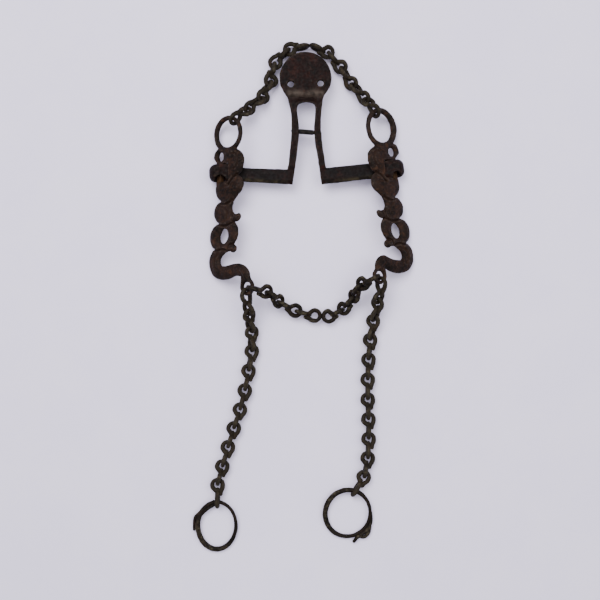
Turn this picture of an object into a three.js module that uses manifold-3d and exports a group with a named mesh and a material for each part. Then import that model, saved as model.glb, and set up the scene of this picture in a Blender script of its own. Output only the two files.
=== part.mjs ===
// A hand-forged curb bit with a tall spade port, two loose cheeks and jack chains, lying flat.
// Units are millimetres, +Z up, the bit's top towards +Y and the rein rings towards -Y.
import * as THREE from 'three';
import { mergeVertices } from 'three/addons/utils/BufferGeometryUtils.js';
import Module from 'manifold-3d';

const wasm = await Module();
wasm.setup();

const V = (x, y, z) => new THREE.Vector3(x, y, z);
const deg = THREE.MathUtils.degToRad;

// Cheek plates.
const PLATE = 3.0;
const POST_HALF = 3.2;
const SLOT_INNER = 14.3;
const SLOT_HALF = 7.4;
const POST_HEIGHT = 8.2;
const HEAD_RING = { u: 9.0, v: 30.4, radius: 12.7, wire: 1.65 };
const CURB_RING = { u: 2.4, v: 12.4, hole: 3.4 };
const OVAL = { u: 4.9, v: -50.1, long: 6.1, short: 4.4, lean: deg(-20) };
const EYE = { u: 29.0, v: -90.4, outer: 6.8, hole: 4.3 };
const RIM = (EYE.outer + EYE.hole) / 2;

// Mouthpiece.
const BAR = 2.8;
const CURL_IN = 4.1;
const CURL_OUT = CURL_IN + BAR;
const CURL_LENGTH = 13.8;
const BAR_TOP = POST_HEIGHT + CURL_OUT;
const BAR_MID = BAR_TOP - BAR / 2;
const LEG = 5.6;
const DISC = { x: -0.8, y: 73.9, radius: 20.5 };
const PIN = { y: 31.3, radius: 1.3, turn: deg(-5) };

// Chains and rein rings.
const WIRE = 1.5;
const SIDES = 6;
const STEPS = 19;
const GAP = 0.5;
const BEND = (2 * WIRE + GAP) / 2;
const RING_WIRE = 1.7;
const AT_HEAD_RING = HEAD_RING.wire + WIRE + GAP;
const AT_EYE = 3.65;
const AT_REIN_RING = RING_WIRE + WIRE + GAP;
const FLOOR_AXIS = 5.6;

const LEFT = { name: 'left', side: 1, x: -68.7, y: -0.6, tilt: deg(38), turn: 0, short: 1, eyeShift: [0, 0] };
const RIGHT = { name: 'right', side: -1, x: 69.0, y: 2.8, tilt: deg(36), turn: deg(6), short: 0.975,
  eyeShift: [-2.8, 5] };

const iron = new THREE.MeshStandardMaterial({ color: 0x4a3c38, roughness: 0.72, metalness: 0.6 });
const spadeIron = new THREE.MeshStandardMaterial({ color: 0x51403c, roughness: 0.7, metalness: 0.6 });
const chainIron = new THREE.MeshStandardMaterial({ color: 0x5a5246, roughness: 0.7, metalness: 0.6 });
iron.name = 'forged_iron';
spadeIron.name = 'mouth_iron';
chainIron.name = 'wire_iron';

// ---- solids -------------------------------------------------------------------------------

function toSolid(geometry) {
  const bare = geometry.index ? geometry.toNonIndexed() : geometry.clone();
  bare.deleteAttribute('normal');
  bare.deleteAttribute('uv');
  const merged = mergeVertices(bare, 1e-4);
  const corners = merged.index.array;
  const triVerts = [];
  for (let i = 0; i < corners.length; i += 3) {
    const [a, b, c] = [corners[i], corners[i + 1], corners[i + 2]];
    if (a !== b && b !== c && c !== a) triVerts.push(a, b, c);
  }
  return new wasm.Manifold(new wasm.Mesh({
    numProp: 3,
    vertProperties: new Float32Array(merged.attributes.position.array),
    triVerts: new Uint32Array(triVerts),
  }));
}

function toGeometry(solid) {
  const mesh = solid.getMesh();
  const geometry = new THREE.BufferGeometry();
  const xyz = new Float32Array(mesh.numVert * 3);
  for (let i = 0; i < mesh.numVert; i += 1) {
    for (let k = 0; k < 3; k += 1) xyz[3 * i + k] = mesh.vertProperties[mesh.numProp * i + k];
  }
  geometry.setAttribute('position', new THREE.BufferAttribute(xyz, 3));
  geometry.setIndex(new THREE.BufferAttribute(new Uint32Array(mesh.triVerts), 1));
  geometry.computeVertexNormals();
  return geometry;
}

function slab(shape, bottom, height, segments = 6) {
  const g = new THREE.ExtrudeGeometry(shape, { depth: height, bevelEnabled: false, curveSegments: segments });
  g.translate(0, 0, bottom);
  return toSolid(g);
}

function polygon(points) {
  return new THREE.Shape(points.map(([x, y]) => new THREE.Vector2(x, y)));
}

function disc(x, y, radius) {
  return new THREE.Shape().absarc(x, y, radius, 0, 2 * Math.PI, false);
}

function cut(solid, shapes, bottom, height) {
  return shapes.reduce((left, shape) => left.subtract(slab(shape, bottom - 1, height + 2, 6)), solid);
}

function ringProfile(radius, wire, sides) {
  const points = [];
  for (let i = 0; i <= sides; i += 1) {
    const a = (2 * Math.PI * i) / sides;
    points.push(new THREE.Vector2(radius + wire * Math.cos(a), wire * Math.sin(a)));
  }
  return points;
}

// ---- cheeks -------------------------------------------------------------------------------

// Smooth runs of the cheek's outline; u is towards the mouth, v is up the cheek. Corners are
// where one run stops and the next begins.
const OUTLINE = [
  [[-3.2, -7.8], [-3.2, 7.8]],
  [[-5.0, 10.2], [-4.6, 14.6], [-1.6, 18.2], [4.0, 19.6]],
  [[9.0, 18.9], [14.5, 19.4], [20.0, 16.9], [24.2, 13.4], [25.3, 8.8], [24.2, 3.5], [21.6, -0.9], [19.2, -2.6]],
  [[23.0, -5.6], [24.6, -10.5], [22.7, -15.0], [18.9, -18.6], [15.2, -21.9], [13.1, -26.8], [13.2, -30.7],
    [15.7, -33.4], [22.1, -34.4]],
  [[18.9, -38.0], [15.7, -39.3]],
  [[18.4, -42.8], [19.3, -47.5], [17.9, -52.1], [15.0, -56.6]],
  [[17.4, -58.6], [17.2, -61.6], [14.4, -63.4], [11.4, -62.3]],
  [[8.2, -62.3], [4.0, -64.6], [0.4, -68.8], [1.6, -73.4], [7.1, -73.6], [13.6, -72.3], [20.0, -71.9],
    [26.3, -73.8], [30.5, -78.1], [32.0, -83.2], [35.2, -87.6], [35.7, -92.0], [33.4, -95.7], [29.0, -97.2],
    [24.7, -95.7], [22.3, -91.8], [22.6, -86.4], [22.8, -82.2]],
  [[16.8, -81.7], [10.3, -84.0], [3.8, -84.8], [-1.7, -84.0], [-6.7, -81.3], [-10.3, -75.7], [-11.1, -70.0],
    [-9.5, -64.5], [-5.6, -60.2]],
  [[-8.2, -57.7], [-9.9, -53.3], [-9.7, -47.7], [-6.2, -42.6], [-1.2, -39.9]],
  [[-4.7, -36.0], [-5.8, -31.1], [-3.6, -25.7], [1.1, -22.4]],
  [[-2.5, -18.8], [-4.0, -14.5], [-3.6, -10.6], [-3.2, -7.8]],
];

// The right cheek was forged a little shorter below the mouth than the left one, and its eye
// sits nearer the shank's arc.
function forged(cheek, [u, v]) {
  if (v >= -10) return [u, v];
  const y = -10 + (v + 10) * cheek.short;
  const t = u > 18 ? Math.min(1, Math.max(0, (-74 - v) / 11)) : 0;
  return [u + t * cheek.eyeShift[0], y + t * cheek.eyeShift[1]];
}

function cheekShape(cheek) {
  const place = (p) => new THREE.Vector2(...forged(cheek, p));
  const shape = new THREE.Shape();
  const last = OUTLINE[OUTLINE.length - 1];
  const start = place(last[last.length - 1]);
  shape.moveTo(start.x, start.y);
  for (const run of OUTLINE) {
    if (run === OUTLINE[0]) shape.lineTo(run[1][0], run[1][1]);
    else shape.splineThru(run.map(place));
  }
  return shape;
}

function cheekHoles(cheek) {
  const slot = new THREE.Shape();
  slot.moveTo(POST_HALF, -SLOT_HALF);
  slot.lineTo(POST_HALF, SLOT_HALF);
  slot.lineTo(SLOT_INNER - 0.6, SLOT_HALF);
  slot.lineTo(SLOT_INNER, SLOT_HALF - 0.6);
  slot.lineTo(SLOT_INNER, 0.6 - SLOT_HALF);
  slot.lineTo(SLOT_INNER - 0.6, -SLOT_HALF);
  const [ou, ov] = forged(cheek, [OVAL.u, OVAL.v]);
  const oval = new THREE.Shape().absellipse(ou, ov, OVAL.short, OVAL.long, 0, 2 * Math.PI, false, OVAL.lean);
  const [eu, ev] = eyeCentre(cheek);
  return [slot, oval, disc(CURB_RING.u, CURB_RING.v, CURB_RING.hole), disc(eu, ev, EYE.hole)];
}

function eyeCentre(cheek) {
  return forged(cheek, [EYE.u, EYE.v]);
}

// Carries a point of the flat plate (u, v, height above its middle) to the lying cheek.
function onCheek(cheek, u, v, h = 0) {
  const across = u * Math.cos(cheek.tilt) - h * Math.sin(cheek.tilt);
  const p = V(cheek.side * across, v, u * Math.sin(cheek.tilt) + h * Math.cos(cheek.tilt));
  return p.applyAxisAngle(V(0, 0, 1), cheek.turn).add(V(cheek.x, cheek.y, POST_HEIGHT));
}

function cheekGeometry(cheek) {
  const plate = cut(slab(cheekShape(cheek), -PLATE / 2, PLATE, 2), cheekHoles(cheek), -PLATE / 2, PLATE);
  const torus = new THREE.LatheGeometry(ringProfile(HEAD_RING.radius, HEAD_RING.wire, 8), 30);
  torus.rotateX(Math.PI / 2);
  torus.translate(HEAD_RING.u, HEAD_RING.v, 0);
  let solid = plate.add(toSolid(torus));
  const origin = onCheek(cheek, 0, 0);
  const across = onCheek(cheek, 1, 0).sub(origin);
  const along = onCheek(cheek, 0, 1).sub(origin);
  const normal = onCheek(cheek, 0, 0, 1).sub(origin);
  solid = solid.transform([...across.toArray(), 0, ...along.toArray(), 0, ...normal.toArray(), 0,
    ...origin.toArray(), 1]);
  return toGeometry(solid);
}

// ---- mouthpiece ---------------------------------------------------------------------------

const SPADE_HOLES = [[-12.4, 68.8], [11.0, 69.5]];
const PORT_EDGE = [[-11, -10.1], [-8.7, 5.3], [-6.3, 25], [-5.9, 34.5], [-7.4, 51], [-5.6, 53.7], [0.2, 54.8],
  [5.6, 53.7], [7.0, 51], [5.9, 34.5], [6.4, 26.5], [9.1, 9.2], [12, -10.1]];
const LEG_LEFT = [[-14.6, 57.3], [-12.3, 47.1], [-11.8, 32.9], [-12.6, 21.1], [-14.3, 5.3], [-15, 1.8]];
const LEG_RIGHT = [[15.6, 3.0], [15.0, 5.3], [12.6, 21.1], [11.4, 32.9], [11.7, 47.1], [12.8, 56.8]];

function mouthPlan() {
  const shape = new THREE.Shape();
  shape.moveTo(-68.7, -7.5);
  for (const [x, y] of [[-60, -7.5], [-48.5, -8.1], ...PORT_EDGE, [49.3, -5.9], [60.5, -5.0], [69.7, -4.0],
    [68.3, 9.6], [60, 8.2], [48.5, 6.5], ...LEG_RIGHT, [15.8, 62.1]]) shape.lineTo(x, y);
  shape.absarc(DISC.x, DISC.y, DISC.radius, deg(-17), deg(197), false);
  for (const [x, y] of [[-17.7, 62.1], ...LEG_LEFT, [-48.5, 2.9], [-60, 5.4], [-68.7, 6.3]]) shape.lineTo(x, y);
  return shape;
}

// The outside and the inside of the bar's end, which is rolled round the cheek's post.
function curl(cheek) {
  const tube = (radius, length) => {
    const g = new THREE.CylinderGeometry(radius, radius, length, 24);
    g.rotateZ(cheek.turn);
    g.translate(cheek.x, cheek.y, POST_HEIGHT);
    return toSolid(g);
  };
  return [tube(CURL_OUT, CURL_LENGTH), tube(CURL_IN, CURL_LENGTH + 4)];
}

function mouthGeometry() {
  const holes = SPADE_HOLES.map(([x, y]) => disc(x, y, 2.5));
  let solid = cut(slab(mouthPlan(), BAR_TOP - BAR, BAR, 12), holes, BAR_TOP - BAR, BAR);
  const leftLeg = polygon([...PORT_EDGE.slice(1, 5), [-9, 55.5], [-13.2, 53], ...LEG_LEFT.slice(1, 5)]);
  const rightLeg = polygon([...LEG_RIGHT.slice(1, 5), [12.2, 52.5], [8.6, 55.5], ...PORT_EDGE.slice(8, 12)]);
  solid = solid.add(slab(leftLeg, BAR_MID - LEG / 2, LEG)).add(slab(rightLeg, BAR_MID - LEG / 2, LEG));
  const ridge = new THREE.CylinderGeometry(1.9, 1.9, 27, 12);
  ridge.rotateZ(Math.PI / 2);
  ridge.translate(-0.8, 61.2, BAR_TOP - 0.7);
  solid = solid.add(toSolid(ridge));
  for (const cheek of [LEFT, RIGHT]) {
    const [outside, inside] = curl(cheek);
    solid = solid.add(outside).subtract(inside);
  }
  const bore = new THREE.CylinderGeometry(PIN.radius + 0.3, PIN.radius + 0.3, 60, 16);
  bore.rotateZ(Math.PI / 2 + PIN.turn);
  bore.translate(0, PIN.y, BAR_MID);
  return toGeometry(solid.subtract(toSolid(bore)));
}

// A riveted pin across the port: a rod with a peened head outside each leg.
function pinGeometry() {
  const half = 13.3;
  const head = 0.9;
  const r = PIN.radius;
  const profile = [[0, -half - head], [r + 0.5, -half - head], [r + 1.0, -half], [r + 1.0, -half + 0.5],
    [r, -half + 0.5], [r, half - 0.7], [r + 1.0, half - 0.7], [r + 1.0, half - 0.2], [r + 0.5, half + 0.5],
    [0, half + 0.5]].map(([x, y]) => new THREE.Vector2(x, y));
  const g = new THREE.LatheGeometry(profile, 14);
  g.rotateZ(Math.PI / 2 + PIN.turn + Math.PI);
  g.translate(-0.2, PIN.y, BAR_MID);
  return toGeometry(toSolid(g));
}

// ---- chain links --------------------------------------------------------------------------

// One wire link: an open teardrop, a quarter twist at the neck and a second open teardrop.
// x runs along the chain from its first pivot; the first loop lies in x-y, the second in x-z.
function linkPath(pitch, nearBend, farBend) {
  const wide = 4.1;
  const neck = pitch / 2;
  const half = (end, sign, put) => [
    put(neck - sign * 0.9, 3.1),
    put(end + sign * 5.6, wide),
    put(end + sign * 1.7, 3.45),
    put(end, 0),
    put(end + sign * 1.7, -3.45),
    put(end + sign * 5.6, -wide),
    put(neck - sign * 2.2, -2.0),
  ];
  const first = half(-nearBend, 1, (x, w) => V(x, w, 0));
  const second = half(pitch + farBend, -1, (x, w) => V(x, 0, w)).reverse();
  return new THREE.CatmullRomCurve3([...first, V(neck, 0, 0), ...second.map((p) => V(p.x, 0, -p.z))],
    false, 'centripetal');
}

function sweep(path, radius, sides, steps) {
  const points = [];
  for (let i = 0; i < sides; i += 1) {
    const a = (2 * Math.PI * (i + 0.5)) / sides;
    points.push(new THREE.Vector2(radius * Math.cos(a), radius * Math.sin(a)));
  }
  return new THREE.ExtrudeGeometry(new THREE.Shape(points), { steps, extrudePath: path, bevelEnabled: false });
}

function linkFrame(from, to, up) {
  const along = to.clone().sub(from).normalize();
  const first = up.clone().addScaledVector(along, -up.dot(along)).normalize();
  const side = first.clone().cross(along);
  return new THREE.Matrix4().makeBasis(along, side, first).setPosition(from);
}

function linkGeometry(from, to, up, nearBend, farBend) {
  const path = linkPath(from.distanceTo(to), nearBend, farBend);
  const g = sweep(path, WIRE, SIDES, STEPS);
  g.applyMatrix4(linkFrame(from, to, up));
  return toGeometry(toSolid(g));
}

function axesOf(frame) {
  const axes = { along: V(), side: V(), first: V() };
  frame.extractBasis(axes.along, axes.side, axes.first);
  return axes;
}

// Where a link really starts: a sideways bend turns about the last loop's end wire and a lift
// about the link's own end wire, so both wires keep their gap.
function seat(pivot, last, direction) {
  const change = last.along.clone().sub(direction);
  change.addScaledVector(last.first, -2 * change.dot(last.first));
  return pivot.clone().addScaledVector(change, BEND);
}

// Lays a chain of links through its pivots. The first hinge turns about the ring or eye it
// hangs on; after that each link swings about the last bend or lifts on its own bend.
function layChain(name, pivots, ups, hinge0, bends, signs) {
  const meshes = [];
  let last = null;
  for (let i = 0; i + 1 < pivots.length; i += 1) {
    const to = pivots[i + 1];
    const from = last ? seat(pivots[i], last, to.clone().sub(pivots[i]).normalize()) : pivots[i];
    const near = last ? BEND : bends[0];
    const far = i + 2 === pivots.length ? bends[1] : BEND;
    const mesh = new THREE.Mesh(linkGeometry(from, to, ups[i], near, far), chainIron);
    mesh.name = `${name}_link_${String(i + 1).padStart(2, '0')}`;
    const here = axesOf(linkFrame(from, to, ups[i]));
    const at = from.clone();
    let axis = hinge0;
    if (i % 2 === 1) {
      at.copy(pivots[i]).addScaledVector(last.along, BEND);
      axis = last.first;
    } else if (last) {
      at.addScaledVector(here.along, -BEND);
      axis = here.side;
    }
    mesh.userData.hinge = { at, axis: axis.clone().multiplyScalar(signs[i % signs.length]), kind: i % 2 };
    meshes.push(mesh);
    last = here;
  }
  return meshes;
}

const flat = (list) => list.map(([x, y, z = FLOOR_AXIS]) => V(x, y, z));

// A chain's roll blends from the direction the ring or eye dictates to the one it lies at.
function blendUps(first, lying, count, steps) {
  const list = [];
  for (let i = 0; i < count; i += 1) {
    const t = Math.min(1, i / steps);
    list.push(first.clone().multiplyScalar(1 - t).addScaledVector(lying, t).normalize());
  }
  return list;
}

// Point on the headstall ring's wire, and its tangent, at an angle measured from +u.
function onHeadRing(cheek, angle) {
  const at = (a) => onCheek(cheek, HEAD_RING.u + HEAD_RING.radius * Math.cos(a),
    HEAD_RING.v + HEAD_RING.radius * Math.sin(a));
  return { at: at(angle), tangent: at(angle + 0.01).sub(at(angle - 0.01)).normalize() };
}

function onEye(cheek, angle) {
  const [u, v] = eyeCentre(cheek);
  const at = (a) => onCheek(cheek, u + RIM * Math.cos(a), v + RIM * Math.sin(a));
  return { at: at(angle), tangent: at(angle + 0.01).sub(at(angle - 0.01)).normalize() };
}

function makeChain(name, start, points, bends, lying, steps, signs) {
  const pivots = [start.at, ...flat(points)];
  const first = start.tangent.clone().multiplyScalar(Math.sign(start.tangent.dot(lying)));
  return layChain(name, pivots, blendUps(first, lying, points.length, steps), first, bends, signs);
}

const UPPER_LEFT = [[-46.6, 49.0, 13.2], [-35.8, 58.6, 8.2], [-29.2, 71.6], [-25.9, 86.0], [-15.2, 97.6],
  [-1.1, 101.2]];
const UPPER_RIGHT = [[47.6, 57.0, 11.0], [37.4, 69.6, 6.4], [28.8, 82.8], [18.8, 95.0], [5.7, 101.2]];
const LOWER_LEFT = [[-29.2, -95.0, 20.8], [-20.5, -103.4, 11.2], [-6.5, -110.8, 6.2], [9.0, -114.1, 5.9]];
const LOWER_RIGHT = [[41.9, -89.3, 20.4], [36.4, -99.9, 11.6], [28.0, -109.6, 6.6], [15.5, -115.2, 5.9]];
const REIN_LEFT = [[-45.2, -110.6, 17.0], [-44.2, -124.2, 8.4], [-43.6, -139.4], [-45.7, -155.1],
  [-48.6, -170.7], [-52.4, -186.1], [-57.2, -201.1], [-61.9, -216.1], [-66.4, -231.4], [-70.5, -246.2],
  [-71.0, -262.2]];
const REIN_RIGHT = [[56.0, -101.6, 16.4], [54.0, -115.3, 8.0], [51.3, -130.4], [49.7, -146.1],
  [48.9, -162.0], [48.9, -177.9], [49.4, -193.6], [49.6, -209.3], [49.1, -224.8], [46.5, -240.1],
  [38.8, -253.4]];

// ---- rein rings ---------------------------------------------------------------------------

// A bent oval ring whose near side hangs in the chain's last loop and whose far side lies flat.
function reinRing(name, contact, centre, halfWidth, halfHeight) {
  const outward = centre.clone().sub(contact).setZ(0).normalize();
  const across = V(-outward.y, outward.x, 0);
  const drop = V(0, 0, RING_WIRE - FLOOR_AXIS + 0.1);
  const points = [];
  for (let i = 0; i < 24; i += 1) {
    const a = (2 * Math.PI * i) / 24;
    const run = halfHeight * (1 - Math.cos(a));
    points.push(contact.clone().addScaledVector(outward, run).addScaledVector(across, halfWidth * Math.sin(a))
      .addScaledVector(drop, run / (2 * halfHeight)));
  }
  const path = new THREE.CatmullRomCurve3(points, true);
  const g = sweep(path, RING_WIRE, 8, 36);
  const mesh = new THREE.Mesh(toGeometry(toSolid(g)), chainIron);
  mesh.name = name;
  mesh.userData.hinge = { at: contact.clone(), axis: across, kind: 2 };
  return mesh;
}

// ---- assembly -----------------------------------------------------------------------------

const group = new THREE.Group();
group.name = 'curb_bit';

function addNode(name, geometry, material) {
  const mesh = new THREE.Mesh(geometry, material);
  mesh.name = name;
  group.add(mesh);
  return mesh;
}

addNode('mouthpiece', mouthGeometry(), spadeIron);
addNode('cross_pin', pinGeometry(), iron);
for (const cheek of [LEFT, RIGHT]) {
  const mesh = addNode(`${cheek.name}_cheek`, cheekGeometry(cheek), iron);
  const axis = V(0, -cheek.side, 0).applyAxisAngle(V(0, 0, 1), cheek.turn);
  mesh.userData.hinge = { at: V(cheek.x, cheek.y, POST_HEIGHT), axis, kind: 3 };
}

const UP = V(0, 0, 1);
const BACK = V(0, 1, 0);
const chains = [
  ...makeChain('left_rein', onEye(LEFT, deg(-108)), REIN_LEFT, [AT_EYE, AT_REIN_RING], UP, 4, [1, 1, -1, -1]),
  ...makeChain('right_rein', onEye(RIGHT, deg(-104)), REIN_RIGHT, [AT_EYE, AT_REIN_RING], UP, 4, [1, -1, -1, 1]),
  ...makeChain('left_curb', onHeadRing(LEFT, deg(60)), UPPER_LEFT, [AT_HEAD_RING, BEND], UP, 4, [1]),
  ...makeChain('right_curb', onHeadRing(RIGHT, deg(72)), UPPER_RIGHT, [AT_HEAD_RING, BEND], UP, 4, [1]),
  ...makeChain('left_shank', onEye(LEFT, deg(-12)), LOWER_LEFT, [AT_EYE, BEND], BACK, 3, [1]),
  ...makeChain('right_shank', onEye(RIGHT, deg(-12)), LOWER_RIGHT, [AT_EYE, BEND], BACK, 3, [1]),
];
for (const mesh of chains) group.add(mesh);

const lastOf = (list) => flat([list[list.length - 1]])[0];
group.add(reinRing('left_rein_ring', lastOf(REIN_LEFT), V(-71.6, -281.5, 0), 15.2, 19.3));
group.add(reinRing('right_rein_ring', lastOf(REIN_RIGHT), V(33.0, -271.4, 0), 17.8, 19.1));

// The whole bit is shifted so that the middle of its bottom face is the origin.
const box = new THREE.Box3().setFromObject(group);
const shift = V(-(box.min.x + box.max.x) / 2, -(box.min.y + box.max.y) / 2, -box.min.z);
for (const mesh of group.children) {
  mesh.geometry.translate(shift.x, shift.y, shift.z);
  if (mesh.userData.hinge) mesh.userData.hinge.at.add(shift);
}

export default group;
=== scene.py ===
"""The looks of a hand-forged curb bit: rough scrolled cheeks, a spade mouthpiece, jack chains, rein rings."""

import math

import bpy
import numpy as np
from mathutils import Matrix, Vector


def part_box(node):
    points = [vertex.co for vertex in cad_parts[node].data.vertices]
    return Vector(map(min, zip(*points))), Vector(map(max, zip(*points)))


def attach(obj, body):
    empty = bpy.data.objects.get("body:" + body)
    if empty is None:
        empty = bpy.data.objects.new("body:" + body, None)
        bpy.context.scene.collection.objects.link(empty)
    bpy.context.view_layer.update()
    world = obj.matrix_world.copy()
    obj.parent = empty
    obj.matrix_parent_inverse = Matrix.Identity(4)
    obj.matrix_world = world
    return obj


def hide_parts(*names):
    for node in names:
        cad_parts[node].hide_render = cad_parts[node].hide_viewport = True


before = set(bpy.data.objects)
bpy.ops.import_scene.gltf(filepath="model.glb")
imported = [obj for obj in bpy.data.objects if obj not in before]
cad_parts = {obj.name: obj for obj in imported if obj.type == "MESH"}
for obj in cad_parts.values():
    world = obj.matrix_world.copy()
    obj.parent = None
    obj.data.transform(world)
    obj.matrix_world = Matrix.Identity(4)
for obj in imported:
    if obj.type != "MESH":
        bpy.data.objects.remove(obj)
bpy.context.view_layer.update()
MM = 0.001
SEED = 7

# Driving sizes, in millimetres. The drawing frame has its origin on the floor between the two bars, +X to the
# right cheek and +Y to the spade. A cheek is drawn on its own plate, u towards the mouth and v up the cheek
# from the middle of its post, and is then laid down leaning.

# Cheeks.
POST_HEIGHT = 8.2      # the post's middle above the floor
SHOWN_POST = 2.4       # from the post's middle to the slot
SLOT_INNER = 14.3      # the slot's far end
SLOT_HALF = 7.4
HEAD_RING_WIRE = 1.65
CURB_RING = dict(u=2.4, v=12.4, hole=3.4)
OVAL = dict(u=4.9, v=-50.1, long=6.1, short=4.4, lean=math.radians(-20))
EYE = dict(u=29.0, v=-90.4, outer=6.8, hole=4.3)
SHOWN_EYE = 3.8        # the hole's radius as it looks, with two worn wires in it
RIM = (EYE["outer"] + EYE["hole"]) / 2

# Mouthpiece. Its bars end in tubes, rolled round the posts.
BAR = 2.8
CURL_IN = 4.1
CURL_OUT = CURL_IN + BAR
CURL_LENGTH = 13.8
BAR_TOP = POST_HEIGHT + CURL_OUT
BAR_MID = BAR_TOP - BAR / 2
LEG = 5.6
DISC = dict(x=-0.8, y=73.9, radius=20.5)
RIDGE_TOP = BAR_TOP + 1.2
PIN = dict(x=-0.2, y=31.3, radius=1.3, turn=math.radians(-5))

# Chains and rein rings. WIRE and RING_WIRE are the radii that the joints are set out for.
WIRE = 1.5
SHOWN_WIRE = 1.68
GAP = 0.5
BEND = (2 * WIRE + GAP) / 2    # from a pivot to the middle of each end wire
OPEN_END = 0.6                 # how much further the curb chain's two halves reach where they meet
RING_WIRE = 1.7
FLOOR_AXIS = 5.6               # the height of a chain's pivots where it lies on the floor
AT_HEAD_RING = HEAD_RING_WIRE + WIRE + GAP
AT_EYE = 3.65
AT_REIN_RING = RING_WIRE + WIRE + GAP

# The two cheeks were forged by hand and differ. x and y: the post's middle. short: the length below the post.
# eye and curb: how far the eye and the small curb ring are shifted. hump: the rise of the shank's first bend.
# ring: the headstall ring's middle and half sizes. ring_wire: its radius, and how much thinner it is inside.
# mouth: the worn lower end of the rolled bar's bore, as half its width, its depth and its shift inwards.
LEFT = dict(name="left", side=1, x=-68.7, y=-0.6, tilt=math.radians(38), turn=0.0, short=1.0,
            eye=(0, 0), curb=(-0.8, 0.8), curb_hole=2.6, hump=0.0,
            ring=(9.0, 30.4, 12.7, 12.7), ring_wire=(1.98, 0.13), mouth=(4.9, 5.4, 0.9))
RIGHT = dict(name="right", side=-1, x=69.0, y=2.8, tilt=math.radians(36), turn=math.radians(6), short=0.975,
             eye=(-2.8, 5), curb=(-2.4, 1.8), curb_hole=3.4, hump=3.6,
             ring=(8.5, 32.6, 13.2, 14.0), ring_wire=(2.22, 0.33), mouth=(3.6, 4.9, -1.7))


def frame_shift():
    """The step from the drawing frame to the row frame, from where the mouthpiece's node lies."""
    lo, hi = (np.array(c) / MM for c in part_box("mouthpiece"))
    return np.array([lo[0] - (LEFT["x"] - CURL_OUT), hi[1] - (DISC["y"] + DISC["radius"]), hi[2] - RIDGE_TOP])


SHIFT = frame_shift()


# ---- mesh tools -----------------------------------------------------------------------------

def unit(v):
    v = np.asarray(v, float)
    return v / np.maximum(np.linalg.norm(v, axis=-1, keepdims=True), 1e-12)


class Noise:
    """Smooth value noise on a seeded lattice, about -1 to 1."""

    def __init__(self, seed, size=32):
        self.size = size
        self.lattice = np.random.default_rng(seed).uniform(-1, 1, (size, size, size))

    def __call__(self, points, scale):
        p = np.asarray(points, float) / scale
        base = np.floor(p).astype(int)
        t = p - base
        t = t * t * (3 - 2 * t)
        total = 0.0
        for corner in np.ndindex(2, 2, 2):
            i = (base + corner) % self.size
            weight = np.prod(np.where(corner, t, 1 - t), axis=-1)
            total = total + weight * self.lattice[i[..., 0], i[..., 1], i[..., 2]]
        return total


NOISE = Noise(SEED)
PITS = Noise(SEED + 1)


def surface_net(field, origin, cell):
    """Vertices and quads of the surface where a sampled field crosses zero; it is below zero inside."""
    inside = field < 0
    n = np.array(field.shape)
    steps = np.eye(3, dtype=int)
    corner = [inside[i:n[0] - 1 + i, j:n[1] - 1 + j, k:n[2] - 1 + k] for i, j, k in np.ndindex(2, 2, 2)]
    count = sum(c.astype(np.int8) for c in corner)
    crossed = (count > 0) & (count < 8)
    cells = np.argwhere(crossed)
    ids = np.full(crossed.shape, -1, np.int64)
    ids[crossed] = np.arange(len(cells))
    total = np.zeros((len(cells), 3))
    hits = np.zeros(len(cells))
    quads = []
    for axis in range(3):
        one, two = (axis + 1) % 3, (axis + 2) % 3
        for a, b in np.ndindex(2, 2):
            start = cells + a * steps[one] + b * steps[two]
            f0 = field[tuple(start.T)]
            f1 = field[tuple((start + steps[axis]).T)]
            hit = (f0 < 0) != (f1 < 0)
            t = np.where(hit, f0 / np.where(hit, f0 - f1, 1), 0)
            total += (start + t[:, None] * steps[axis]) * hit[:, None]
            hits += hit
        low = inside[tuple(slice(0, n[k] - 1) if k == axis else slice(None) for k in range(3))]
        high = inside[tuple(slice(1, n[k]) if k == axis else slice(None) for k in range(3))]
        edge = np.argwhere(low != high)
        for side in (one, two):
            edge = edge[(edge[:, side] > 0) & (edge[:, side] < n[side] - 1)]
        around = (0 * steps[one], steps[one], steps[one] + steps[two], steps[two])
        quad = np.stack([ids[tuple((edge - d).T)] for d in around], axis=1)
        out = low[tuple(edge.T)]
        quads.append(np.where(out[:, None], quad, quad[:, ::-1]))
    return origin + cell * total / hits[:, None], np.concatenate(quads)


def make_object(name, points, faces):
    """A smooth-shaded mesh from points in drawing millimetres."""
    mesh = bpy.data.meshes.new(name)
    mesh.from_pydata(((points + SHIFT) * MM).tolist(), [], faces)
    mesh.validate()
    mesh.update()
    mesh.shade_smooth()
    obj = bpy.data.objects.new(name, mesh)
    bpy.context.scene.collection.objects.link(obj)
    return obj


def coordinates(mesh):
    """Each vertex's place, in millimetres."""
    co = np.empty(len(mesh.vertices) * 3)
    mesh.vertices.foreach_get("co", co)
    return co.reshape(-1, 3) / MM


def normals(mesh):
    out = np.empty(len(mesh.vertices) * 3)
    mesh.vertex_normals.foreach_get("vector", out)
    return out.reshape(-1, 3)


def neighbour_mean(mesh, values):
    """Each vertex's mean of a value over the vertices it shares an edge with."""
    edges = np.empty(len(mesh.edges) * 2, np.int64)
    mesh.edges.foreach_get("vertices", edges)
    a, b = edges.reshape(-1, 2).T
    total = np.zeros_like(values)
    np.add.at(total, a, values[b])
    np.add.at(total, b, values[a])
    n = np.bincount(np.concatenate([a, b]), minlength=len(values)).clip(1)
    return total / (n[:, None] if values.ndim > 1 else n)


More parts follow.
